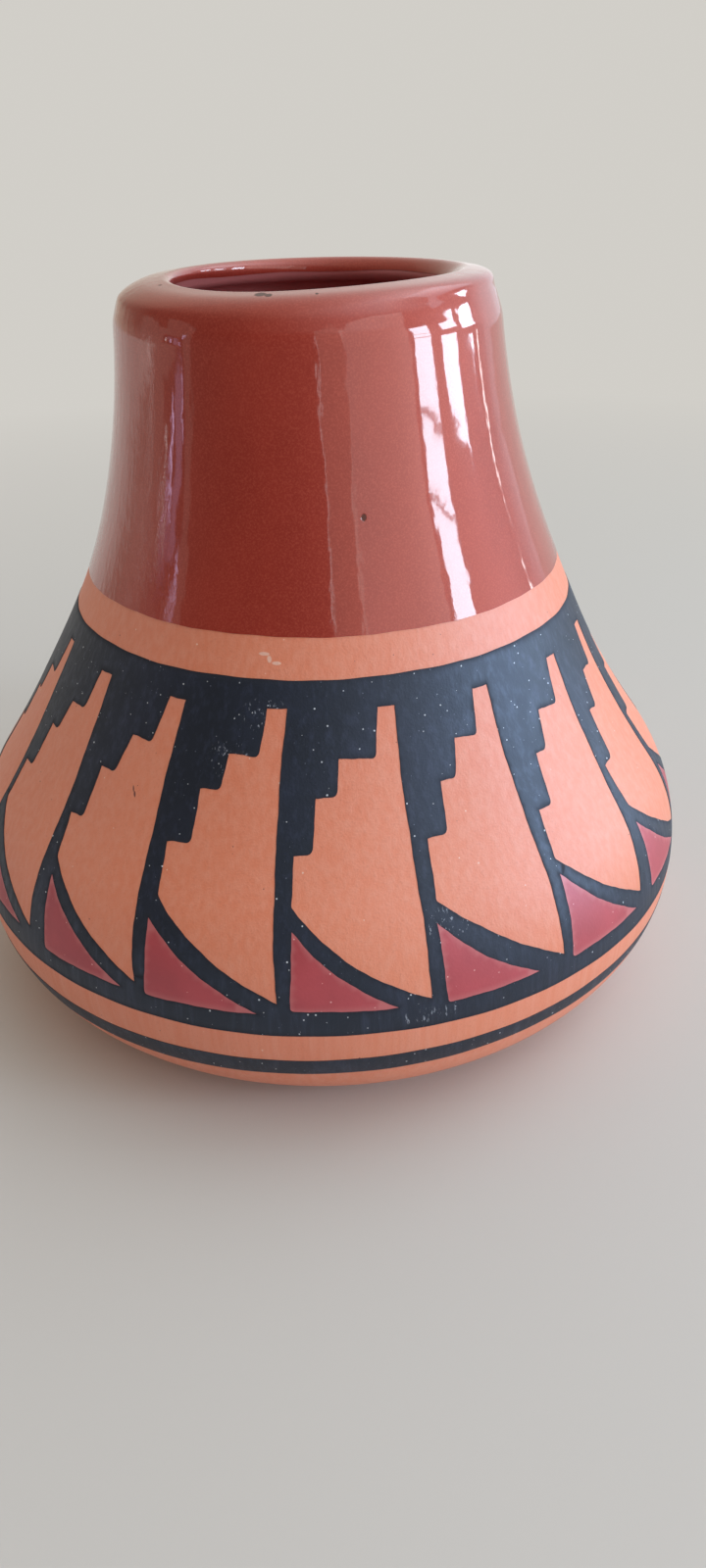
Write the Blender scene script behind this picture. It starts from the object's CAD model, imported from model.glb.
import math
import random

import bpy
import numpy as np
from mathutils import Matrix, Vector, geometry, kdtree


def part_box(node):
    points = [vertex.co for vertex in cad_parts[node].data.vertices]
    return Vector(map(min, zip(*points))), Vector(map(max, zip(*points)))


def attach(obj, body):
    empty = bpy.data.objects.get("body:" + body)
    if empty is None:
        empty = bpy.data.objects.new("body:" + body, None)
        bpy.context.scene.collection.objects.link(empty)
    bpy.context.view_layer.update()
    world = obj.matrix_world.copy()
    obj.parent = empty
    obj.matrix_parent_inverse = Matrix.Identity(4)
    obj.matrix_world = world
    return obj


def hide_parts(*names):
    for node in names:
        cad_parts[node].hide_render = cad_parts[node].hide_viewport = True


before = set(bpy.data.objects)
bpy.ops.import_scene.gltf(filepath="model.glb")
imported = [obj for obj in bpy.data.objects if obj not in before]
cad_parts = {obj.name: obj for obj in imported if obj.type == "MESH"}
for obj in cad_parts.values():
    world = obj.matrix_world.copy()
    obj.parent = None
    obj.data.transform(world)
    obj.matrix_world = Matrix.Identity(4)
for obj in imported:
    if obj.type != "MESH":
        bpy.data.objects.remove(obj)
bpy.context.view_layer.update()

# The jar's outline, in millimetres. The heights and the widest places come from
# the frame, and the bends are those of the turned wall.
MM = 0.001
BELLY_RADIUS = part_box("belly_wall")[1].x / MM
FOOT_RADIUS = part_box("base_disc")[1].x / MM
SHOULDER_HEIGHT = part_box("belly_wall")[1].z / MM
NECK_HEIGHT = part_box("shoulder_wall")[1].z / MM
COLLAR_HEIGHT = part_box("neck_wall")[1].z / MM
JAR_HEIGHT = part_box("neck_polish_coat")[1].z / MM
BASE_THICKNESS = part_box("base_disc")[1].z / MM
CLAY_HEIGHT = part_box("rim_coil")[1].z / MM
BELLY_HEIGHT = 38.0
SHOULDER_BEND = 54.0
FLANK_HOLLOW = 308.0
NECK_HOLLOW = 204.0
LIP_ANGLE = math.radians(81.25)
WALL = 6.0

# The hand-made clay is a little out of round. Each of its waves has a number
# round the jar, a phase, the height over which it turns, and its share. Within
# the steady radius there is none.
WOBBLE = 0.16
WOBBLE_WAVES = [(2, 1.1, 70.0, 0.6), (3, -0.6, -45.0, 0.4)]
STEADY_RADIUS = 1.0

# The neck leans to the right between two heights, the top leans back, and the
# mouth lies further to the right. The rim dips at the front left.
WAIST_LEAN = 1.15
WAIST_FROM = 92.0
WAIST_TO = 175.0
TOP_LEAN = 0.8
TOP_FROM = 165.0
MOUTH_SHIFT = 2.3
MOUTH_FROM = 195.2
RIM_DIP = 1.95
RIM_DIP_NARROWNESS = 2.2
RIM_LOW_ANGLE = math.radians(-34)
RIM_DIP_FROM = 190.0
RIM_RISE = 0.10
RIM_FULLNESS = 1.1
RIM_FULL_FROM = math.radians(20)

# How finely the pieces are divided: the sectors of a turn, the distance between
# rows up the wall and across the base, and the angles between rows on the bends.
SECTORS = 360
COAT_SECTORS = 720
ROW = 1.6
BASE_ROW = 4.0
AXIS_HOLE = 0.4
RIM_STEP = 0.08
LIP_STEP = 0.12
FLOOR_STEP = 0.05
SHARP_ANGLE = math.radians(40)

# Paint and glaze stand above the clay, and the back of each coat is sunk in it.
PAINT_LIFT = 0.10
RED_LIFT = 0.07
GLAZE_LIFT = 0.16
SUNK = 0.06


def eased(share):
    """A share from 0 to 1 with a soft start and end."""
    share = min(max(share, 0.0), 1.0)
    return share * share * (3 - 2 * share)


def as_made(across, up, angle):
    """The place, in metres, of a place on the outline at an angle, as the potter's hand left it.

    The wall is a little out of round, the neck leans and the rim dips. The angle
    runs from the front to the right.
    """
    if across > STEADY_RADIUS:
        waves = [share * math.sin(number * angle + phase + up / turn)
                 for number, phase, turn, share in WOBBLE_WAVES]
        across += WOBBLE * sum(waves)
    to_waist = eased((up - WAIST_FROM) / (NECK_HEIGHT - WAIST_FROM))
    past_waist = eased((up - NECK_HEIGHT) / (WAIST_TO - NECK_HEIGHT))
    at_top = eased((up - TOP_FROM) / (JAR_HEIGHT - TOP_FROM))
    at_mouth = eased((up - MOUTH_FROM) / (JAR_HEIGHT - MOUTH_FROM))
    lean = WAIST_LEAN * (to_waist - past_waist) - TOP_LEAN * at_top + MOUTH_SHIFT * at_mouth
    on_rim = eased((up - RIM_DIP_FROM) / (JAR_HEIGHT - RIM_DIP_FROM))
    dip = RIM_DIP * math.exp(RIM_DIP_NARROWNESS * (math.cos(angle - RIM_LOW_ANGLE) - 1))
    up -= (dip - RIM_RISE) * on_rim
    return (across * math.sin(angle) + lean) * MM, -across * math.cos(angle) * MM, up * MM


class Arc:
    """One arc of the outline. Its radius is negative where the wall is hollow."""

    def __init__(self, start, lean, radius):
        self.radius = radius
        self.across = start[0] - radius * math.sqrt(1 - lean * lean)
        self.up = start[1] - radius * lean

    def lean(self, height):
        """The sine of the wall's lean inwards at a height."""
        return (height - self.up) / self.radius

    def at(self, height, lift=0.0):
        """The place lift outside the arc, square to it."""
        lean = self.lean(height)
        stand = math.sqrt(1 - lean * lean)
        return self.across + (self.radius + lift) * stand, self.up + (self.radius + lift) * lean


foot_inset = BELLY_RADIUS - FOOT_RADIUS
under_bend = (foot_inset ** 2 + BELLY_HEIGHT ** 2) / (2 * foot_inset)
belly = (BELLY_RADIUS, BELLY_HEIGHT)
under_arc = Arc(belly, 0.0, under_bend)
belly_arc = Arc(belly, 0.0, SHOULDER_BEND)
shoulder = belly_arc.at(SHOULDER_HEIGHT)
flank_arc = Arc(shoulder, belly_arc.lean(SHOULDER_HEIGHT), -FLANK_HOLLOW)
neck = flank_arc.at(NECK_HEIGHT)
neck_arc = Arc(neck, flank_arc.lean(NECK_HEIGHT), -NECK_HOLLOW)
collar_lean = neck_arc.lean(COLLAR_HEIGHT)
collar_middle = neck_arc.at(COLLAR_HEIGHT, -WALL / 2)
lip_height = CLAY_HEIGHT - WALL / 2
rim_bend = (lip_height - collar_middle[1]) / (math.sin(LIP_ANGLE) - collar_lean)
collar_stand = math.sqrt(1 - collar_lean ** 2)
rim_centre = (collar_middle[0] - rim_bend * collar_stand, collar_middle[1] - rim_bend * collar_lean)
rim_start = math.asin(collar_lean)
lip_centre = (rim_centre[0] + rim_bend * math.cos(LIP_ANGLE), lip_height)


def wall_arc(height):
    """The arc of the outline that holds a height."""
    if height < BELLY_HEIGHT:
        return under_arc
    if height < SHOULDER_HEIGHT:
        return belly_arc
    return flank_arc if height < NECK_HEIGHT else neck_arc


def on_wall(angle, height, lift=0.0):
    """A point of the wall's outer face, lift outside it. The angle runs from the front to the right."""
    across, up = wall_arc(height).at(height, lift)
    return as_made(across, up, angle)


def evenly(low, high, count):
    """The ends of count equal steps from low to high, both included."""
    return [low + (high - low) * i / count for i in range(count + 1)]


def steps(low, high, spacing):
    """Evenly spaced values from low to high, both included, about spacing apart."""
    return evenly(low, high, max(1, round(abs(high - low) / spacing)))


def mesh_object(name, points, faces):
    """A smooth mesh in the scene, with sharp edges where it turns a corner."""
    mesh = bpy.data.meshes.new(name)
    mesh.from_pydata(points, [], faces)
    mesh.validate()
    mesh.shade_smooth()
    mesh.set_sharp_from_angle(angle=SHARP_ANGLE)
    piece = bpy.data.objects.new(name, mesh)
    bpy.context.scene.collection.objects.link(piece)
    return piece


def mark_points(piece, name, values):
    """Give each point of a piece a number that its material reads by name."""
    attribute = piece.data.attributes.new(name, "FLOAT", "POINT")
    attribute.data.foreach_set("value", values)


def ring_faces(count, depth):
    """The faces of a closed ring of count sections, each a closed line of depth points."""
    faces = []
    for k in range(count):
        here = k * depth
        there = (k + 1) % count * depth
        for row in range(depth):
            above = (row + 1) % depth
            faces.append((here + row, there + row, there + above, here + above))
    return faces


def turned(name, outside, inside):
    """A closed ring turned from its outer and its inner (across, up) places, anticlockwise."""
    section = outside + inside
    points = []
    for k in range(SECTORS):
        angle = 2 * math.pi * k / SECTORS
        points += [as_made(across, up, angle) for across, up in section]
    piece = mesh_object(name, points, ring_faces(SECTORS, len(section)))
    mark_points(piece, "within", ([0.0] * len(outside) + [1.0] * len(inside)) * SECTORS)
    return piece


def along(arc, low, high, lift=0.0):
    """Places on an arc of the wall from one height to another, lift outside it."""
    return [arc.at(height, lift) for height in steps(low, high, ROW)]


def on_rim_arc(lean, reach):
    """A place on the arc that turns in over the mouth, reach outside its middle line.

    Outside, the potter left its corner full.
    """
    share = min(max((lean - RIM_FULL_FROM) / (LIP_ANGLE - RIM_FULL_FROM), 0.0), 1.0)
    fullness = RIM_FULLNESS * math.sin(math.pi * share) ** 2 if reach > 0 else 0.0
    radius = rim_bend + reach + fullness
    return rim_centre[0] + radius * math.cos(lean), rim_centre[1] + radius * math.sin(lean)


def on_lip(lean, reach):
    """A place on the half round of the lip, reach from its centre."""
    return lip_centre[0] + reach * math.cos(lean), lip_centre[1] + reach * math.sin(lean)


# Clay pieces
def floor_round():
    """Places on the quarter round where the inner wall runs out into the floor."""
    bend = BELLY_HEIGHT - BASE_THICKNESS
    middle = BELLY_RADIUS - WALL - bend
    return [(middle + bend * math.cos(lean), BELLY_HEIGHT - bend * math.sin(lean))
            for lean in steps(0.0, math.pi / 2, FLOOR_STEP)]


def make_base():
    """The flat slab, a ring that stops just short of the axis."""
    bottom = [(across, 0.0) for across in steps(AXIS_HOLE, FOOT_RADIUS, BASE_ROW)]
    floor = floor_round()[-1][0]
    top = [(across, BASE_THICKNESS) for across in steps(floor, AXIS_HOLE, BASE_ROW)]
    return turned("clay_base", bottom, top)


def make_belly():
    outside = along(under_arc, 0.0, BELLY_HEIGHT) + along(belly_arc, BELLY_HEIGHT, SHOULDER_HEIGHT)[1:]
    inside = along(belly_arc, SHOULDER_HEIGHT, BELLY_HEIGHT, -WALL) + floor_round()[1:]
    return turned("clay_belly", outside, inside)


def make_ring(name, arc, low, high):
    return turned(name, along(arc, low, high), along(arc, high, low, -WALL))


def make_rim():
    """The last coil, turned in over the mouth. A third of its lip counts as outside."""
    outside = [on_rim_arc(lean, WALL / 2) for lean in steps(rim_start, LIP_ANGLE, RIM_STEP)]
    lip = [on_lip(lean, WALL / 2) for lean in steps(LIP_ANGLE, LIP_ANGLE + math.pi, LIP_STEP)]
    inside = [on_rim_arc(lean, -WALL / 2) for lean in steps(LIP_ANGLE, rim_start, RIM_STEP)]
    inner_lip = len(lip) // 3
    return turned("clay_rim", outside + lip[1:inner_lip], lip[inner_lip:] + inside[1:])


clay_pieces = {
    "base_disc": make_base(),
    "belly_wall": make_belly(),
    "shoulder_wall": make_ring("clay_shoulder", flank_arc, SHOULDER_HEIGHT, NECK_HEIGHT),
    "neck_wall": make_ring("clay_neck", neck_arc, NECK_HEIGHT, COLLAR_HEIGHT),
    "rim_coil": make_rim(),
}

# The painted band, laid out flat: across is an angle in degrees from the front,
# and up is a height in millimetres.
PANELS = 18
PITCH = 360 / PANELS
FIRST_PANEL = -8
FIRST_EDGE = 12.3
FIELD_TOP = 117.1
FIELD_BOTTOM = 39.5
POLISH_ABOVE_NECK = 0.2
FOOT_LINE_TOP = 30.8
FOOT_LINE_BOTTOM = 24.7
FLAT_RADIUS = 100.0
UNDERLAP = 0.25

# How far apart the points stand on an outline and inside it, the share of a
# rounded corner from point to point, and how near counts as the same place.
SPACING = 0.8
MESH_SPACING = 1.7
ROUNDING_STEP = 0.2
MERGE_DISTANCE = 1e-5
NEAR = 1e-4
TINY = 1e-12

# The band is cut at the back to lie flat, just past a straight edge.
PAST_EDGE = 1.0
CUT_ANGLE = FIRST_EDGE - FIRST_PANEL * PITCH + PAST_EDGE
ONE_TURN = 2 * math.pi * FLAT_RADIUS
LEFT_CUT = math.radians(CUT_ANGLE - 360) * FLAT_RADIUS
RIGHT_CUT = LEFT_CUT + ONE_TURN

# A hand-held brush wavers. Each wave has a height and a length in millimetres,
# or on a ring a height and a number round the jar.
BRUSH_WAVES = [(0.07, 2.9), (0.05, 1.3), (0.03, 0.55)]
RING_WAVES = [(0.14, 3), (0.08, 11), (0.05, 37)]
SLIP_SEED = 100
FEATHER_SEED = 40
TRIANGLE_SEED = 80

# One feather panel, from the top of its stem round by its steps to its tip.
# Each corner is degrees back from its straight edge, a height and how far the
# brush rounded it off.
FEATHER = [
    (0.0, 110.5, 0.0),
    (-3.5, 110.5, 0.0),
    (-4.4, 100.3, 1.5),
    (-9.8, 100.4, 0.0),
    (-10.8, 92.3, 1.5),
    (-14.0, 92.2, 0.0),
    (-14.6, 80.8, 1.5),
    (-17.8, 80.6, 0.0),
    (-17.7, 69.8, 0.5),
    (0.0, 48.3, 0.0),
]
# How far the treads of its steps bow upwards, by the number of the corner they start at.
STEP_BOWS = {2: 0.15, 4: 0.1, 6: 0.1}
TRIANGLE = [
    (-18.0, 65.4, 0.0),
    (-17.9, 45.7, 1.0),
    (-3.3, 45.9, 0.3),
]
TRIANGLE_BULGE = -1.2

# What the painter did otherwise on the panels in view: the place of the
# straight edge, how it bows, and how far corners are off, by their number.
PANEL_SLIPS = {
    -2: {"edge": -27.3, "bow": -1.0, "bulge": 1.1,
         "feather": {0: (-0.3, 0.1), 1: (-0.4, 0.1), 2: (-1.1, -0.3), 3: (-0.2, -0.1), 4: (-0.9, -1.0),
                     5: (-1.1, -0.9), 6: (-0.9, -1.4), 7: (-0.7, -1.6), 8: (0.0, -0.5)},
         "triangle": {0: (0.5, -0.3), 1: (1.0, -0.5), 2: (1.0, -0.4)}},
    -1: {"edge": -7.6, "bow": -0.6, "bulge": 1.1,
         "feather": {0: (0.0, 0.3), 1: (-0.2, 0.3), 3: (0.0, 0.3), 4: (0.4, 0.6), 5: (0.1, 0.4),
                     6: (0.5, 0.4), 7: (-0.2, 0.0), 9: (0.0, 0.6)},
         "triangle": {0: (-0.3, -0.6), 1: (-0.2, 0.0), 2: (0.8, -0.1)}},
    0: {"edge": 12.2, "bow": -0.1, "bulge": 1.8,
        "feather": {0: (0.1, -0.1), 1: (0.3, 0.0), 2: (0.4, -0.7), 3: (-0.6, -0.2), 5: (-0.4, 0.0),
                    6: (-0.3, 0.0), 8: (-0.2, 0.8), 9: (0.0, -0.7)},
        "triangle": {0: (0.2, 0.4), 1: (-0.2, 1.4), 2: (-0.9, 0.5)}},
    1: {"edge": 31.9, "bow": 0.0, "bulge": 0.5,
        "feather": {0: (0.1, -0.2), 1: (0.1, 0.0), 3: (0.8, 0.7), 4: (0.6, 0.4), 5: (0.9, 0.6),
                    6: (0.8, 1.1), 7: (0.7, 1.2), 8: (0.2, -0.3), 9: (0.4, -0.8)},
        "triangle": {0: (0.0, -0.3), 1: (0.4, -0.3), 2: (-0.5, 0.0)}},
    2: {"edge": 52.3, "bow": 0.5, "bulge": 1.1,
        "feather": {0: (1.2, -0.6), 1: (1.5, -0.4), 2: (0.7, -0.7), 3: (0.5, 0.0), 4: (0.0, -0.5),
                    5: (0.4, -0.3), 6: (0.3, -0.4), 7: (0.5, 0.0), 8: (0.0, 0.2), 9: (-1.6, 0.8)},
        "triangle": {0: (0.1, 1.3), 1: (-0.4, -0.5), 2: (0.1, -0.6)}},
}


def slips_of(number):
    """The slips of a panel in view, or small ones of its own for any other."""
    if number in PANEL_SLIPS:
        return PANEL_SLIPS[number]
    hand = random.Random(number + SLIP_SEED)
    return {
        "edge": FIRST_EDGE + PITCH * number + hand.uniform(-0.3, 0.3),
        "bow": hand.uniform(-0.6, 0.3),
        "bulge": hand.uniform(0.8, 1.5),
        "feather": {i: (hand.uniform(-0.4, 0.4), hand.uniform(-0.5, 0.5)) for i in range(len(FEATHER))},
        "triangle": {i: (hand.uniform(-0.3, 0.3), hand.uniform(-0.4, 0.4)) for i in range(len(TRIANGLE))},
    }


def flat(degrees, height):
    return np.array((math.radians(degrees) * FLAT_RADIUS, height))


def line_between(start, end, bow):
    """Points from start to end, not with end itself, bowed to the right of the way."""
    run = end - start
    length = np.linalg.norm(run)
    right = np.array((run[1], -run[0])) / length
    shares = steps(0.0, 1.0, SPACING / length)[:-1]
    return [start + run * share + right * bow * 4 * share * (1 - share) for share in shares]


def random_phases(seed, count):
    hand = random.Random(seed)
    return [hand.uniform(0, 2 * math.pi) for _ in range(count)]


def brush_waver(points, seed):
    """Let a closed line waver a little, as a hand-held brush does."""
    phases = random_phases(seed, len(BRUSH_WAVES))
    wavered = []
    travel = 0.0
    for i, here in enumerate(points):
        ahead = points[(i + 1) % len(points)]
        run = ahead - here
        length = max(np.linalg.norm(run), TINY)
        right = np.array((run[1], -run[0])) / length
        off = sum(height * math.sin(travel / wave + phase)
                  for (height, wave), phase in zip(BRUSH_WAVES, phases))
        wavered.append(here + right * off)
        travel += length
    return wavered


def cut_short(corner, other, length):
    """The place that far from a corner, on the way to another one."""
    run = other - corner
    return corner + run / np.linalg.norm(run) * length


def rounded_corner(start, corner, end):
    """Points on the bend from start to end, not with end itself, that a corner pulls outwards."""
    shares = steps(0.0, 1.0, ROUNDING_STEP)[:-1]
    return [start * (1 - share) ** 2 + corner * 2 * share * (1 - share) + end * share ** 2
            for share in shares]


def painted_outline(corners, slips, edge, bows, seed):
    """The closed outline through corners, with rounded ones cut short and sides bowed."""
    places = []
    for i, (back, height, rounding) in enumerate(corners):
        more, higher = slips.get(i, (0.0, 0.0))
        places.append((flat(edge + back + more, height + higher), rounding))
    outline = []
    for i, (here, rounding) in enumerate(places):
        before = places[i - 1][0]
        after, next_rounding = places[(i + 1) % len(places)]
        start = here
        if rounding > 0:
            start = cut_short(here, after, rounding)
            outline += rounded_corner(cut_short(here, before, rounding), here, start)
        end = after
        if next_rounding > 0:
            end = cut_short(after, here, next_rounding)
        outline += line_between(start, end, bows.get(i, 0.0))
    return brush_waver(outline, seed)


def panel_outlines(number):
    """The outlines of a feather panel and of the triangle below it, in the flat."""
    slips = slips_of(number)
    edge = slips["edge"]
    last = len(FEATHER) - 1
    bows = {**STEP_BOWS, last - 1: slips["bulge"], last: math.radians(slips["bow"]) * FLAT_RADIUS}
    feather = painted_outline(FEATHER, slips["feather"], edge, bows, number + FEATHER_SEED)
    bows = {2: TRIANGLE_BULGE}
    triangle = painted_outline(TRIANGLE, slips["triangle"], edge, bows, number + TRIANGLE_SEED)
    return feather, triangle


def band_edge(height, swing, seed):
    """The height of a painted ring's edge by angle: higher by swing on the right, and wavering a little."""
    phases = random_phases(seed, len(RING_WAVES))

    def edge(angle):
        waver = sum(rise * math.sin(number * angle + phase)
                    for (rise, number), phase in zip(RING_WAVES, phases))
        return height + swing * math.sin(angle) + waver
    return edge


polish_edge = band_edge(NECK_HEIGHT + POLISH_ABOVE_NECK, swing=0.0, seed=5)
field_top_edge = band_edge(FIELD_TOP, swing=0.1, seed=6)
field_bottom_edge = band_edge(FIELD_BOTTOM, swing=-0.2, seed=7)
line_top_edge = band_edge(FOOT_LINE_TOP, swing=1.6, seed=8)
line_bottom_edge = band_edge(FOOT_LINE_BOTTOM, swing=3.3, seed=9)


def inside_outline(places, outline):
    """Which of the places lie inside a closed outline."""
    ring = np.array(outline)
    low, high = ring.min(0), ring.max(0)
    inside = np.zeros(len(places), bool)
    near = np.where(((places >= low) & (places <= high)).all(1))[0]
    ahead = np.roll(ring, -1, 0)
    run = ahead - ring
    for i in near:
        x, y = places[i]
        crosses = (ring[:, 1] > y) != (ahead[:, 1] > y)
        reach = run[:, 0] * (y - ring[:, 1]) / (run[:, 1] + TINY) + ring[:, 0]
        inside[i] = np.count_nonzero(crosses & (x < reach)) % 2 == 1
    return inside


def grid_inside(border, spacing, taken):
    """Places of a triangular grid inside a border, clear of the places that are taken."""
    tree = kdtree.KDTree(len(taken))
    for i, (x, y) in enumerate(taken):
        tree.insert((x, y, 0.0), i)
    tree.balance()
    row_height = spacing * 0.87
    clear = spacing * 0.55
    low, high = np.array(border).min(0), np.array(border).max(0)
    grid = []
    for row, y in enumerate(np.arange(low[1] + spacing / 2, high[1], row_height)):
        for x in np.arange(low[0] + spacing / 2 + spacing / 2 * (row % 2), high[0], spacing):
            if tree.find((x, y, 0.0))[2] > clear:
                grid.append((x, y))
    return [place for place, kept in zip(grid, inside_outline(np.array(grid), border)) if kept]


def flat_mesh(border, holes):
    """Triangles over the inside of a border, but not over its holes."""
    points, edges = [], []
    for outline in [border] + holes:
        first = len(points)
        points += [tuple(place) for place in outline]
        edges += [(first + i, first + (i + 1) % len(outline)) for i in range(len(outline))]
    grid = grid_inside(border, MESH_SPACING, points)
    for hole in holes:
        grid = [place for place, cut in zip(grid, inside_outline(np.array(grid), hole)) if not cut]
    places = [Vector(place) for place in points + grid]
    laid = geometry.delaunay_2d_cdt(places, edges, [], 1, MERGE_DISTANCE)
    spots = np.array([tuple(spot) for spot in laid[0]])
    faces = [tuple(face) for face in laid[2]]
    middles = np.array([spots[list(face)].mean(0) for face in faces])
    kept = inside_outline(middles, border)
    for hole in holes:
        kept &= ~inside_outline(middles, hole)
    return spots, [face for face, keep in zip(faces, kept) if keep]


def joined_round(spots, faces):
    """Join the right cut of the flat band to its left cut."""
    on_left_cut = {round(y, 3): i for i, (x, y) in enumerate(spots) if abs(x - LEFT_CUT) < NEAR}
    target = list(range(len(spots)))
    for i, (x, y) in enumerate(spots):
        if abs(x - RIGHT_CUT) < NEAR:
            target[i] = on_left_cut[round(y, 3)]
    return [tuple(target[i] for i in face) for face in faces]


def coat_on_wall(name, spots, faces, lift):
    """A closed skin on the wall over flat triangles, whose points say whether they are on its edge."""
    used = sorted({i for face in faces for i in face})
    index = {old: new for new, old in enumerate(used)}
    faces = [tuple(index[i] for i in face) for face in faces]
    count = len(used)
    points = []
    for height in (lift, -SUNK):
        for old in used:
            points.append(on_wall(spots[old][0] / FLAT_RADIUS, spots[old][1], height))
    ways = [way for a, b, c in faces for way in ((a, b), (b, c), (c, a))]
    known = set(ways)
    rims = [(a, b) for a, b in ways if (b, a) not in known]
    shell = faces + [(a + count, c + count, b + count) for a, b, c in faces]
    shell += [(b, a, a + count, b + count) for a, b in rims]
    piece = mesh_object(name, points, shell)
    on_edge = {i for way in rims for i in way}
    mark_points(piece, "edge", [1.0 if i in on_edge else 0.0 for i in range(count)] * 2)
    return piece


# The painted coats
panels = [panel_outlines(number) for number in range(FIRST_PANEL, FIRST_PANEL + PANELS)]


def shifted(outline):
    """The same outline, one turn on or back if it lies outside the cuts."""
    ring = np.array(outline)
    while ring[:, 0].min() < LEFT_CUT:
        ring[:, 0] += ONE_TURN
    while ring[:, 0].min() > RIGHT_CUT:
        ring[:, 0] -= ONE_TURN
    return list(ring)


def field_border():
    """The border of the black field in the flat. Both cuts have the same heights, so that they join."""
    angles = steps(LEFT_CUT / FLAT_RADIUS, RIGHT_CUT / FLAT_RADIUS, SPACING / FLAT_RADIUS)
    low = field_bottom_edge(angles[0])
    high = field_top_edge(angles[-1])
    side = steps(low, high, SPACING)[1:-1]
    border = [np.array((angle * FLAT_RADIUS, field_bottom_edge(angle))) for angle in angles]
    border[-1][1] = low
    border += [np.array((RIGHT_CUT, height)) for height in side]
    border += [np.array((angle * FLAT_RADIUS, field_top_edge(angle))) for angle in reversed(angles)]
    border[-1][1] = high
    return border + [np.array((LEFT_CUT, height)) for height in reversed(side)]


def make_black_field():
    """The black field, with each feather panel and triangle left open in it."""
    holes = [shifted(outline) for panel in panels for outline in panel]
    spots, faces = flat_mesh(field_border(), holes)
    return coat_on_wall("paint_black_field", spots, joined_round(spots, faces), PAINT_LIFT)


def make_red_triangles():
    """The red triangles, each a little larger than its opening, so that it runs under the black."""
    spots, faces = [], []
    for _, triangle in panels:
        middle = np.mean(triangle, 0)
        spread = [middle + (place - middle) * (1 + UNDERLAP / np.linalg.norm(place - middle))
                  for place in triangle]
        more_spots, more_faces = flat_mesh(spread, [])
        first = len(spots)
        spots += list(more_spots)
        faces += [tuple(first + i for i in face) for face in more_faces]
    return coat_on_wall("paint_red_triangles", spots, faces, RED_LIFT)


def ring_coat(name, section, lift):
    """A closed ring on the wall, from a function that gives its section by angle and lift."""
    points = []
    for k in range(COAT_SECTORS):
        angle = 2 * math.pi * k / COAT_SECTORS
        points += section(angle, lift) + section(angle, -SUNK)[::-1]
    return mesh_object(name, points, ring_faces(COAT_SECTORS, len(points) // COAT_SECTORS))


# Rows of the foot line, and of the polish on the neck, the rim and the lip
FOOT_LINE_ROWS = 8
NECK_ROWS = 110
RIM_ROWS = 26
LIP_ROWS = 14
# How far the polish turns in round the lip, and how its edge sways: an angle, a
# number round the jar and a phase
POLISH_TURN = 1.74
POLISH_SWAYS = [(0.10, 2, 1.0), (0.05, 7, 0.0)]


def foot_line(angle, lift):
    heights = evenly(line_bottom_edge(angle), line_top_edge(angle), FOOT_LINE_ROWS)
    return [on_wall(angle, height, lift) for height in heights]


def neck_polish(angle, lift):
    """The red polish: up the neck, over the rim and just round the lip."""
    heights = evenly(polish_edge(angle), COLLAR_HEIGHT, NECK_ROWS)[:-1]
    turn_in = LIP_ANGLE + POLISH_TURN
    for sway, number, phase in POLISH_SWAYS:
        turn_in += sway * math.sin(number * angle + phase)
    reach = WALL / 2 + lift
    over = [on_rim_arc(lean, reach) for lean in evenly(rim_start, LIP_ANGLE, RIM_ROWS)[:-1]]
    over += [on_lip(lean, reach) for lean in evenly(LIP_ANGLE, turn_in, LIP_ROWS)]
    up_neck = [on_wall(angle, height, lift) for height in heights]
    return up_neck + [as_made(across, up, angle) for across, up in over]


coats = {
    "black_paint_field": make_black_field(),
    "red_triangle_fills": make_red_triangles(),
    "foot_black_line": ring_coat("paint_foot_line", foot_line, PAINT_LIFT),
    "neck_polish_coat": ring_coat("coat_neck_polish", neck_polish, GLAZE_LIFT),
}


# Small marks of use, each a place on the jar and how far it spreads, in millimetres
CLAY_FLECKS = [((-14.2, -67.7, 122.4), (1.5, 3.0, 0.45)), ((-13.0, -68.0, 121.3), (0.6, 3.0, 0.9)),
               ((-11.3, -69.0, 120.5), (1.3, 3.0, 0.45))]
CLAY_MARKS = [((-48.8, -72.6, 89.4), (0.25, 1.5, 0.9)), ((-48.5, -72.9, 88.2), (0.3, 1.5, 0.8))]
BLACK_SCUFFS = [((-14.6, -74.1, 109.4), (6.0, 8.0, 4.5)), ((-23.4, -77.5, 99.5), (6.0, 8.0, 5.0)),
                ((27.8, -99.9, 64.6), (8.0, 8.0, 4.0)), ((22.0, -106.0, 43.0), (9.0, 8.0, 2.5))]
POLISH_PITS = [((10.6, -57.0, 151.5), (0.75, 3.0, 0.95)), ((-11.2, -39.6, 197.8), (1.6, 2.2, 0.7)),
               ((-9.3, -40.8, 197.6), (1.1, 1.9, 0.5)), ((1.5, -43.2, 198.0), (0.45, 0.8, 0.3)),
               ((-36.4, -16.4, 198.2), (0.6, 0.9, 0.35))]

# The streaks of the wiped glaze grow towards the left between two places across.
WIPED_FROM = -34.0
WIPED_TO = -46.0


# Materials
def srgb(red, green, blue):
    """A colour as seen, 0 to 255, as the linear colour that the shader takes."""
    parts = [c / 255 for c in (red, green, blue)]
    return tuple(c / 12.92 if c <= 0.04045 else ((c + 0.055) / 1.055) ** 2.4 for c in parts) + (1.0,)


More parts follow.
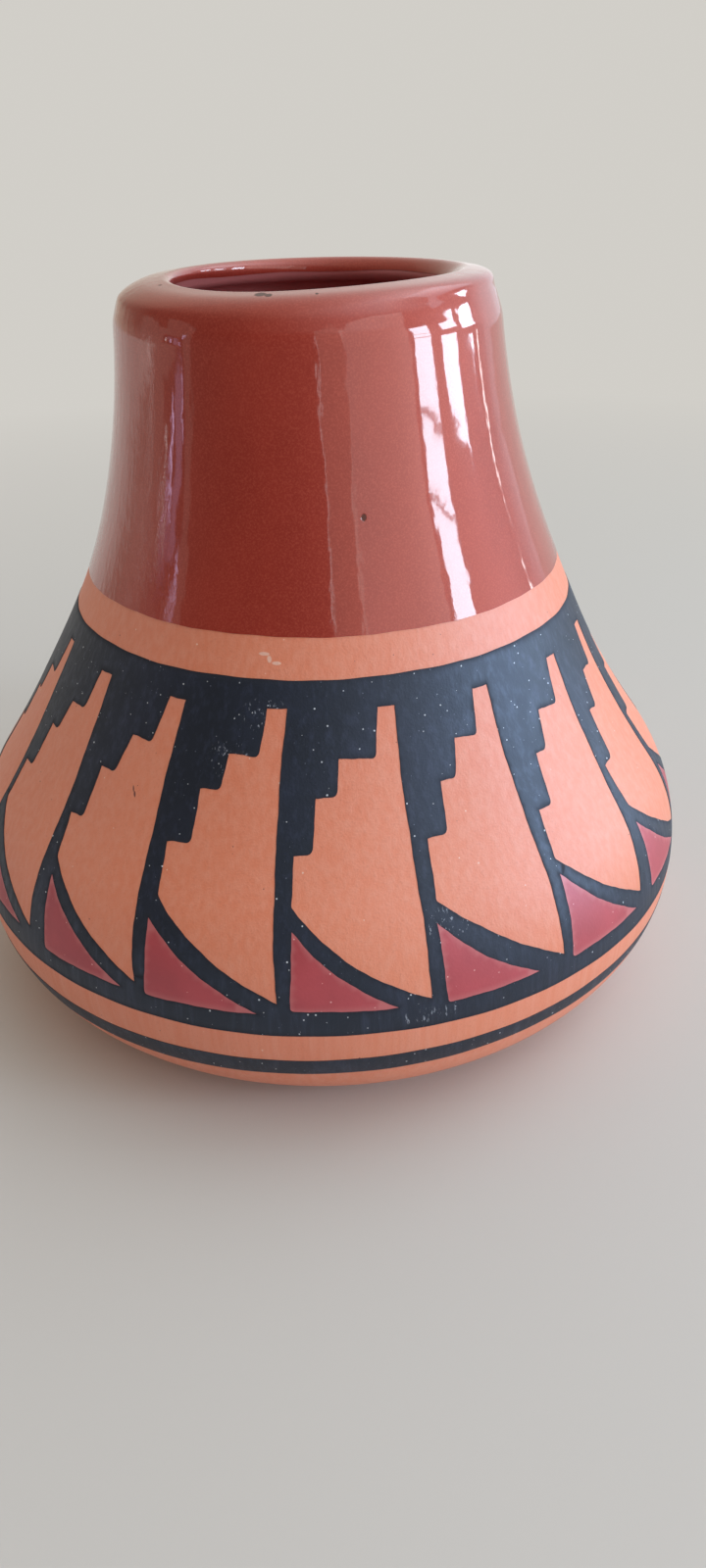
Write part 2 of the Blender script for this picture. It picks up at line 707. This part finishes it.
BUFF = srgb(229, 134, 98)
BUFF_PALE = srgb(234, 141, 105)
BUFF_STREAK = srgb(236, 158, 130)
BUFF_GRAIN = srgb(204, 116, 84)
BROWN_SPECK = srgb(168, 92, 66)
PALE_SPECK = srgb(240, 200, 180)
PALE_FLECK = srgb(240, 190, 170)
BROWN_MARK = srgb(120, 62, 44)
DUSKY_PINK = srgb(204, 118, 116)
BLACK = srgb(20, 21, 30)
BLACK_THIN = srgb(28, 31, 45)
BLACK_STREAK = srgb(56, 62, 84)
BLACK_EDGE = srgb(20, 12, 13)
GREY_SCUFF = srgb(140, 146, 158)
WHITE_SPECK = srgb(200, 206, 214)
GREY_SPECK = srgb(96, 102, 118)
BRICK = srgb(170, 52, 55)
BRICK_THIN = srgb(184, 61, 65)
PINK_SPECK = srgb(226, 168, 166)
POLISH_RED = srgb(146, 39, 29)
POLISH_THIN = srgb(160, 49, 37)
POLISH_MOTTLE = srgb(186, 78, 63)
PIT_BROWN = srgb(58, 34, 32)

# Tints of what the surfaces mirror
CLAY_TINT = (0.62, 0.78, 1.0, 1.0)
BLACK_TINT = (0.62, 0.76, 1.0, 1.0)
BRICK_TINT = (0.88, 0.82, 1.0, 1.0)
POLISH_TINT = (1.0, 0.42, 0.32, 1.0)


class Nodes:
    """A node tree, and the kinds of node that both the materials and the world are made of."""

    def __init__(self, tree):
        self.tree = tree

    def node(self, kind, **values):
        made = self.tree.nodes.new(kind)
        for key, value in values.items():
            setattr(made, key, value)
        return made

    def feed(self, socket, value):
        """Give a socket another node's output or a plain value."""
        if isinstance(value, bpy.types.NodeSocket):
            self.tree.links.new(value, socket)
        else:
            socket.default_value = value

    def ramp(self, source, low, high, start=0.0, end=1.0):
        """A value that runs from start to end while the source runs from low to high."""
        made = self.node("ShaderNodeMapRange", clamp=True)
        self.feed(made.inputs["Value"], source)
        for name, value in (("From Min", low), ("From Max", high), ("To Min", start), ("To Max", end)):
            self.feed(made.inputs[name], value)
        return made.outputs["Result"]

    def math(self, operation, first, second):
        made = self.node("ShaderNodeMath", operation=operation)
        self.feed(made.inputs[0], first)
        self.feed(made.inputs[1], second)
        return made.outputs["Value"]

    def vector_math(self, operation, first, second=None):
        made = self.node("ShaderNodeVectorMath", operation=operation)
        self.feed(made.inputs[0], first)
        if second is not None:
            self.feed(made.inputs[1], second)
        return made.outputs["Value" if operation == "LENGTH" else "Vector"]

    def mix(self, share, first, second):
        """The first colour where the share is 0, and the second where it is 1."""
        made = self.node("ShaderNodeMix", data_type="RGBA")
        self.feed(made.inputs["Factor"], share)
        self.feed(made.inputs["A"], first)
        self.feed(made.inputs["B"], second)
        return made.outputs["Result"]

    def mix_shaders(self, share, first, second):
        made = self.node("ShaderNodeMixShader")
        for socket, value in zip(made.inputs, (share, first, second)):
            self.feed(socket, value)
        return made.outputs["Shader"]


class Finish(Nodes):
    """A procedural material on one Principled shader."""

    def __init__(self, name, roughness):
        self.material = bpy.data.materials.new(name)
        self.material.use_nodes = True
        super().__init__(self.material.node_tree)
        self.shader = self.tree.nodes["Principled BSDF"]
        self.shade("Roughness", roughness)
        self.place = self.node("ShaderNodeTexCoord").outputs["Object"]

    def shade(self, name, value):
        """Feed one of the shader's own sockets."""
        self.feed(self.shader.inputs[name], value)

    def attribute(self, name):
        """The number that the piece's points carry by that name."""
        return self.node("ShaderNodeAttribute", attribute_name=name).outputs["Fac"]

    def scaled(self, scale, location=(0.0, 0.0, 0.0)):
        """The place on the piece, in cells per metre along each axis."""
        mapping = self.node("ShaderNodeMapping")
        self.feed(mapping.inputs["Vector"], self.place)
        self.feed(mapping.inputs["Location"], location)
        self.feed(mapping.inputs["Scale"], scale)
        return mapping.outputs["Vector"]

    def noise(self, across, up, detail=3.0, roughness=0.5):
        """Noise with so many cells per metre across and up."""
        made = self.node("ShaderNodeTexNoise")
        self.feed(made.inputs["Vector"], self.scaled((across, across, up)))
        self.feed(made.inputs["Scale"], 1.0)
        self.feed(made.inputs["Detail"], detail)
        self.feed(made.inputs["Roughness"], roughness)
        return made.outputs["Fac"]

    def specks(self, scale, radius, share, seed):
        """Scattered dots: one in some of the cells, each with a size of its own."""
        cells = self.node("ShaderNodeTexVoronoi")
        place = self.scaled((scale, scale, scale), (seed, seed * 0.7, seed * 1.3))
        self.feed(cells.inputs["Vector"], place)
        self.feed(cells.inputs["Scale"], 1.0)
        parts = self.node("ShaderNodeSeparateColor")
        self.feed(parts.inputs["Color"], cells.outputs["Color"])
        chosen = self.math("LESS_THAN", parts.outputs["Red"], share)
        size = self.math("MULTIPLY", parts.outputs["Green"], radius)
        dot = self.math("LESS_THAN", cells.outputs["Distance"], size)
        return self.math("MULTIPLY", chosen, dot)

    def bump(self, height, distance, below=None):
        """The normal of a surface raised by up to a distance in metres, over the bump below it."""
        made = self.node("ShaderNodeBump")
        self.feed(made.inputs["Height"], height)
        self.feed(made.inputs["Distance"], distance)
        self.feed(made.inputs["Strength"], 1.0)
        if below is not None:
            self.feed(made.inputs["Normal"], below)
        return made.outputs["Normal"]

    def spot(self, place, radii):
        """A soft spot round a place on the piece, both in millimetres."""
        away = self.vector_math("SUBTRACT", self.place, [c * MM for c in place])
        away = self.vector_math("DIVIDE", away, [c * MM for c in radii])
        return self.ramp(self.vector_math("LENGTH", away), 0.7, 1.0, 1.0, 0.0)

    def spotted(self, base, spots, colour):
        """The base colour with each spot of a list in another colour."""
        for place, radii in spots:
            base = self.mix(self.spot(place, radii), base, colour)
        return base

    def on_left(self, start, end):
        """A share that grows to the left, from one place across to another, in millimetres."""
        parts = self.node("ShaderNodeSeparateXYZ")
        self.feed(parts.inputs["Vector"], self.place)
        return self.ramp(parts.outputs["X"], end * MM, start * MM, 1.0, 0.0)


def clay_finish():
    """Buff clay with wiped streaks, grain and specks, and dusky pink inside the mouth."""
    finish = Finish("bare_clay", roughness=0.52)
    cloud = finish.noise(across=24, up=24, detail=3.0)
    streak = finish.noise(across=620, up=16, detail=4.0, roughness=0.6)
    grain = finish.noise(across=1900, up=1900, detail=2.0)
    base = finish.mix(finish.ramp(cloud, 0.35, 0.65), BUFF, BUFF_PALE)
    base = finish.mix(finish.ramp(streak, 0.38, 0.66, 0.0, 0.5), base, BUFF_STREAK)
    base = finish.mix(finish.ramp(grain, 0.55, 0.75, 0.0, 0.3), base, BUFF_GRAIN)
    base = finish.mix(finish.specks(scale=420, radius=0.10, share=0.16, seed=3.0), base, BROWN_SPECK)
    base = finish.mix(finish.specks(scale=420, radius=0.10, share=0.16, seed=8.0), base, PALE_SPECK)
    base = finish.spotted(base, CLAY_FLECKS, PALE_FLECK)
    base = finish.spotted(base, CLAY_MARKS, BROWN_MARK)
    finish.shade("Base Color", finish.mix(finish.attribute("within"), base, DUSKY_PINK))
    finish.shade("Specular IOR Level", 0.9)
    finish.shade("Specular Tint", CLAY_TINT)
    fine = finish.bump(grain, 0.00006)
    finish.shade("Normal", finish.bump(streak, 0.00008, fine))
    return finish.material


def black_finish():
    """Matte black paint, brushed in streaks, dull and brownish at its edges, and scuffed here and there."""
    finish = Finish("black_paint", roughness=0.46)
    cloud = finish.noise(across=60, up=60, detail=4.0, roughness=0.6)
    streak = finish.noise(across=520, up=26, detail=4.0, roughness=0.65)
    grain = finish.noise(across=1600, up=1600, detail=2.0)
    scratch = finish.noise(across=1500, up=380, detail=3.0, roughness=0.6)
    base = finish.mix(finish.ramp(cloud, 0.4, 0.7), BLACK, BLACK_THIN)
    base = finish.mix(finish.ramp(streak, 0.5, 0.75, 0.0, 0.5), base, BLACK_STREAK)
    worn = finish.math("POWER", finish.attribute("edge"), 2.0)
    base = finish.mix(finish.math("MULTIPLY", worn, 0.85), base, BLACK_EDGE)
    for place, radii in BLACK_SCUFFS:
        scuffed = finish.math("MULTIPLY", finish.spot(place, radii), finish.ramp(scratch, 0.60, 0.66))
        base = finish.mix(scuffed, base, GREY_SCUFF)
    base = finish.mix(finish.specks(scale=480, radius=0.12, share=0.8, seed=1.0), base, WHITE_SPECK)
    base = finish.mix(finish.specks(scale=900, radius=0.14, share=0.30, seed=5.0), base, GREY_SPECK)
    finish.shade("Base Color", base)
    finish.shade("Specular IOR Level", 0.85)
    finish.shade("Specular Tint", BLACK_TINT)
    brushed = finish.ramp(streak, 0.35, 0.7, 0.55, 0.46)
    finish.shade("Roughness", finish.math("ADD", brushed, finish.math("MULTIPLY", worn, 0.25)))
    fine = finish.bump(grain, 0.00004)
    finish.shade("Normal", finish.bump(streak, 0.00005, fine))
    return finish.material


def red_finish():
    """Brick-red paint, paler at its edges, with pink specks."""
    finish = Finish("brick_paint", roughness=0.52)
    cloud = finish.noise(across=90, up=90, detail=4.0, roughness=0.6)
    grain = finish.noise(across=1500, up=1500, detail=2.0)
    base = finish.mix(finish.ramp(cloud, 0.35, 0.7), BRICK, BRICK_THIN)
    worn = finish.math("POWER", finish.attribute("edge"), 1.6)
    base = finish.mix(finish.math("MULTIPLY", worn, 0.6), base, DUSKY_PINK)
    base = finish.mix(finish.specks(scale=480, radius=0.11, share=0.7, seed=2.0), base, PINK_SPECK)
    finish.shade("Base Color", base)
    finish.shade("Specular IOR Level", 1.0)
    finish.shade("Specular Tint", BRICK_TINT)
    finish.shade("IOR", 1.58)
    finish.shade("Normal", finish.bump(grain, 0.00004))
    return finish.material


def polish_finish():
    """The dark red polish under a clear glaze, which is rippled, wiped on the left and pitted."""
    finish = Finish("red_polish", roughness=0.47)
    cloud = finish.noise(across=30, up=18, detail=4.0, roughness=0.6)
    mottle = finish.noise(across=2200, up=2200, detail=3.0, roughness=0.6)
    base = finish.mix(finish.ramp(cloud, 0.35, 0.65), POLISH_RED, POLISH_THIN)
    base = finish.mix(finish.ramp(mottle, 0.45, 0.70, 0.0, 0.55), base, POLISH_MOTTLE)
    glazed = 1.0
    for place, radii in POLISH_PITS:
        spot = finish.spot(place, radii)
        base = finish.mix(spot, base, PIT_BROWN)
        glazed = finish.math("SUBTRACT", glazed, spot)
    finish.shade("Base Color", base)
    finish.shade("Specular IOR Level", 1.0)
    finish.shade("Specular Tint", POLISH_TINT)
    finish.shade("Coat Weight", finish.math("MAXIMUM", glazed, 0.15))
    finish.shade("Coat Roughness", 0.05)
    finish.shade("Coat IOR", 1.6)
    ripple = finish.noise(across=120, up=40, detail=2.0)
    fine = finish.noise(across=420, up=170, detail=2.0)
    streak = finish.noise(across=620, up=26, detail=4.0, roughness=0.6)
    wiped = finish.math("MULTIPLY", streak, finish.on_left(WIPED_FROM, WIPED_TO))
    pit = finish.math("MULTIPLY", finish.spot(*POLISH_PITS[0]), -1.0)
    skin = finish.bump(ripple, 0.00012)
    skin = finish.bump(fine, 0.00002, skin)
    skin = finish.bump(wiped, 0.00016, skin)
    finish.shade("Coat Normal", finish.bump(pit, 0.0006, skin))
    return finish.material


clay = clay_finish()
for node, piece in clay_pieces.items():
    piece.data.materials.append(clay)
    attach(piece, "root")
    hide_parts(node)

coat_finishes = {
    "black_paint_field": (black_finish(), "black_paint"),
    "red_triangle_fills": (red_finish(), "brick_paint"),
    "neck_polish_coat": (polish_finish(), "red_polish"),
}
coat_finishes["foot_black_line"] = coat_finishes["black_paint_field"]
for node, piece in coats.items():
    material, slot = coat_finishes[node]
    piece.data.materials.append(material)
    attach(piece, "root")
    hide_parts(node)


# The camera, at the photograph's viewing angle
CAMERA_PLACE = Vector((0.0, -298.1, 222.2)) * MM
CAMERA_PITCH = math.radians(30.66)
CAMERA_ROLL = math.radians(-1.354)
CAMERA_YAW = math.radians(1.562)
FOCAL_PIXELS = 1063.5
PHOTO_HEIGHT = 1600
SENSOR = 36.0
CLIP_START = 0.01


def make_camera():
    forward = math.cos(CAMERA_PITCH)
    ahead = Vector((math.sin(CAMERA_YAW) * forward, math.cos(CAMERA_YAW) * forward, -math.sin(CAMERA_PITCH)))
    level = Vector((math.cos(CAMERA_YAW), -math.sin(CAMERA_YAW), 0.0))
    upright = level.cross(ahead)
    right = level * math.cos(CAMERA_ROLL) + upright * math.sin(CAMERA_ROLL)
    up = upright * math.cos(CAMERA_ROLL) - level * math.sin(CAMERA_ROLL)
    data = bpy.data.cameras.new("camera")
    data.sensor_width = SENSOR
    data.lens = FOCAL_PIXELS / PHOTO_HEIGHT * SENSOR
    data.clip_start = CLIP_START
    camera = bpy.data.objects.new("camera", data)
    turn = Matrix((right, up, -ahead)).transposed()
    camera.matrix_world = Matrix.Translation(CAMERA_PLACE) @ turn.to_4x4()
    bpy.context.scene.collection.objects.link(camera)
    bpy.context.scene.camera = camera


# Studio
FLOOR_RINGS = (0.3, 0.8, 2.0, 8.0)
FLOOR_SECTORS = 96
FLOOR_HEIGHT = -0.0002
FLOOR_COLOUR = (0.60, 0.58, 0.55, 1.0)
FADE_FROM = 0.25
FADE_TO = 0.95
BACKGROUND = (0.64, 0.62, 0.58, 1.0)
WARM_SIDE = (1.0, 0.88, 0.70, 1.0)
COOL_SIDE = (0.88, 0.94, 1.0, 1.0)
DIM_ROOM = 0.07
RIGHT_GAIN = 9.0


def floor_mesh():
    """A round floor, from its middle point out through a few rings."""
    points = [(0.0, 0.0, FLOOR_HEIGHT)]
    for reach in FLOOR_RINGS:
        for k in range(FLOOR_SECTORS):
            angle = 2 * math.pi * k / FLOOR_SECTORS
            points.append((reach * math.cos(angle), reach * math.sin(angle), FLOOR_HEIGHT))
    faces = []
    for k in range(FLOOR_SECTORS):
        after = (k + 1) % FLOOR_SECTORS
        faces.append((0, 1 + k, 1 + after))
        for ring in range(len(FLOOR_RINGS) - 1):
            inner = 1 + ring * FLOOR_SECTORS
            outer = inner + FLOOR_SECTORS
            faces.append((inner + k, outer + k, outer + after, inner + after))
    return mesh_object("studio_floor", points, faces)


def make_floor():
    """A pale floor that fades into the background, as the camera and the mirrors see it."""
    floor = floor_mesh()
    finish = Finish("studio_floor", roughness=0.9)
    finish.shade("Base Color", FLOOR_COLOUR)
    finish.shade("Specular IOR Level", 0.1)
    far = finish.ramp(finish.vector_math("LENGTH", finish.place), FADE_FROM, FADE_TO)
    path = finish.node("ShaderNodeLightPath")
    looked_at = finish.math("MAXIMUM", path.outputs["Is Camera Ray"], path.outputs["Is Glossy Ray"])
    glow = finish.node("ShaderNodeEmission")
    finish.feed(glow.inputs["Color"], BACKGROUND)
    share = finish.math("MULTIPLY", far, looked_at)
    surface = finish.mix_shaders(share, finish.shader.outputs["BSDF"], glow.outputs["Emission"])
    finish.feed(finish.tree.nodes["Material Output"].inputs["Surface"], surface)
    floor.data.materials.append(finish.material)


def make_world():
    """A plain background for the camera, and for the rest a dim room.

    The room's back wall and ceiling grow brighter and cooler to the right, and
    there is a low glow behind the jar on the left.
    """
    world = bpy.data.worlds.new("studio")
    world.use_nodes = True
    world.node_tree.nodes.clear()
    nodes = Nodes(world.node_tree)
    parts = nodes.node("ShaderNodeSeparateXYZ")
    nodes.feed(parts.inputs["Vector"], nodes.node("ShaderNodeTexCoord").outputs["Generated"])
    x, y, z = parts.outputs
    behind = nodes.ramp(y, 0.35, 0.60)
    above = nodes.ramp(z, 0.45, 0.85)
    brighter = nodes.math("POWER", RIGHT_GAIN, nodes.ramp(x, -1.0, 0.6, -1.0, 0.6))
    level = nodes.math("POWER", RIGHT_GAIN, nodes.ramp(x, -1.0, 0.15, -1.0, 0.15))
    back_wall = nodes.math("MULTIPLY", behind, level)
    ceiling = nodes.math("MULTIPLY", above, brighter)
    high = nodes.math("MULTIPLY", nodes.math("MAXIMUM", back_wall, ceiling), 0.75)
    low = nodes.math("MULTIPLY", behind, nodes.ramp(z, 0.05, 0.22, 0.28, 0.0))
    low = nodes.math("MULTIPLY", low, nodes.ramp(x, 0.0, -0.4))
    around = nodes.node("ShaderNodeBackground")
    nodes.feed(around.inputs["Strength"], nodes.math("ADD", nodes.math("ADD", high, low), DIM_ROOM))
    nodes.feed(around.inputs["Color"], nodes.mix(nodes.ramp(x, -0.4, 0.4), WARM_SIDE, COOL_SIDE))
    seen = nodes.node("ShaderNodeBackground")
    nodes.feed(seen.inputs["Color"], BACKGROUND)
    by_camera = nodes.node("ShaderNodeLightPath").outputs["Is Camera Ray"]
    surface = nodes.mix_shaders(by_camera, around.outputs["Background"], seen.outputs["Background"])
    nodes.feed(nodes.node("ShaderNodeOutputWorld").inputs["Surface"], surface)
    bpy.context.scene.world = world


# Lamps: colours, and how far from the jar they stand, in metres
WHITE = (1.0, 1.0, 1.0)
SKY = (0.70, 0.84, 1.0)
VIOLET = (0.72, 0.62, 1.0)
WARM = (1.0, 0.86, 0.76)
ROSY = (1.0, 0.90, 0.86)
COOL = (0.72, 0.86, 1.0)
AMBER = (1.0, 0.82, 0.62)
KEY_REACH = 1.3
WINDOW_REACH = 1.5
PANE_REACH = 1.6
WALL_REACH = 1.7
LAMP_MIDDLE = Vector((0.0, 0.0, 0.15))

# Each lamp fills a window of directions as seen from the jar: the azimuths, from
# the front to the right, and the elevations, both in degrees. Then come its
# reach, its radiance and its colour.
LAMPS = {
    # The window on the right, with its frames, and the room beside it
    "window_low": ((61.0, 72.5), (-2.0, 7.8), WINDOW_REACH, 15.0, SKY),
    "window_middle": ((61.0, 72.5), (8.4, 11.9), WINDOW_REACH, 15.0, SKY),
    "window_high": ((61.5, 72.5), (12.4, 23.4), WINDOW_REACH, 15.0, SKY),
    "window_far": ((79.5, 91.0), (-2.0, 6.3), WINDOW_REACH, 15.0, SKY),
    "window_far_high": ((82.0, 93.0), (12.8, 21.5), WINDOW_REACH, 14.0, SKY),
    "window_farther": ((95.0, 105.0), (-2.0, 2.6), WINDOW_REACH, 15.0, SKY),
    "window_farther_high": ((98.0, 109.5), (8.4, 19.0), WINDOW_REACH, 14.0, SKY),
    "window_frame": ((109.0, 110.2), (0.5, 3.2), WINDOW_REACH, 8.0, WHITE),
    "room_front": ((5.0, 19.0), (-2.0, 34.0), WALL_REACH, 0.62, WARM),
    "room_right": ((19.0, 58.0), (-2.0, 34.0), WALL_REACH, 1.2, ROSY),
    "room_edge": ((4.0, 4.7), (6.0, 24.0), PANE_REACH, 2.0, WHITE),
    # The dim wall on the left, open in the middle, and what shows in the opening
    "left_wall": ((-112.0, -90.0), (-6.0, 20.5), WALL_REACH, 0.31, WARM),
    "left_wall_end": ((-75.0, -70.0), (-6.0, 28.0), WALL_REACH, 0.31, WARM),
    "left_wall_top": ((-90.0, -75.0), (12.0, 28.0), WALL_REACH, 0.31, WARM),
    "left_wall_foot": ((-90.0, -75.0), (-6.0, 1.4), WALL_REACH, 0.31, WARM),
    "left_pane": ((-84.0, -82.8), (2.6, 6.5), PANE_REACH, 5.0, VIOLET),
    "left_pane_far": ((-87.8, -87.0), (3.2, 7.5), PANE_REACH, 4.0, WHITE),
    "left_pane_near": ((-77.2, -76.6), (2.2, 5.2), PANE_REACH, 4.0, VIOLET),
    "left_haze": ((-81.0, -77.6), (2.0, 9.4), PANE_REACH, 0.9, VIOLET),
    "left_haze_far": ((-86.0, -82.0), (6.0, 9.6), PANE_REACH, 0.6, VIOLET),
    "left_pane_high": ((-75.6, -74.7), (9.5, 16.0), PANE_REACH, 5.0, VIOLET),
    "left_frame": ((-100.6, -100.0), (-2.0, 6.0), PANE_REACH, 3.0, WHITE),
    # The large soft lamps
    "key": ((84.0, 126.0), (28.0, 54.0), KEY_REACH, 1.4, COOL),
    "left_fill": ((-140.0, -75.0), (-5.0, 45.0), WALL_REACH, 0.52, AMBER),
}
ONLY_MIRRORED = {"window_far_high", "window_farther", "window_farther_high"}
NOT_MIRRORED = {"left_fill"}


def toward(azimuth, elevation, reach):
    """The place at a reach from the lamps' middle, by its azimuth and its elevation in degrees."""
    azimuth, elevation = math.radians(azimuth), math.radians(elevation)
    level = math.cos(elevation)
    way = Vector((math.sin(azimuth) * level, -math.cos(azimuth) * level, math.sin(elevation)))
    return way * reach + LAMP_MIDDLE


def width_at(reach, angles):
    """How wide a lamp at a reach is, to span two angles in degrees."""
    return 2 * reach * math.tan(math.radians(abs(angles[1] - angles[0]) / 2))


def make_lamp(name, azimuths, elevations, reach, radiance, colour):
    """A soft rectangular lamp that faces the jar."""
    data = bpy.data.lights.new(name, "AREA")
    data.shape = "RECTANGLE"
    data.size = width_at(reach, azimuths)
    data.size_y = width_at(reach, elevations)
    data.energy = radiance * math.pi * data.size * data.size_y
    data.color = colour
    lamp = bpy.data.objects.new(name, data)
    place = toward(sum(azimuths) / 2, sum(elevations) / 2, reach)
    look = LAMP_MIDDLE - place
    lamp.rotation_euler = look.to_track_quat("-Z", "Y").to_euler()
    lamp.location = place
    lamp.visible_camera = False
    lamp.visible_glossy = name not in NOT_MIRRORED
    lamp.visible_diffuse = name not in ONLY_MIRRORED
    bpy.context.scene.collection.objects.link(lamp)


make_camera()
make_floor()
make_world()
for name, settings in LAMPS.items():
    make_lamp(name, *settings)

view = bpy.context.scene.view_settings
view.view_transform = "Standard"
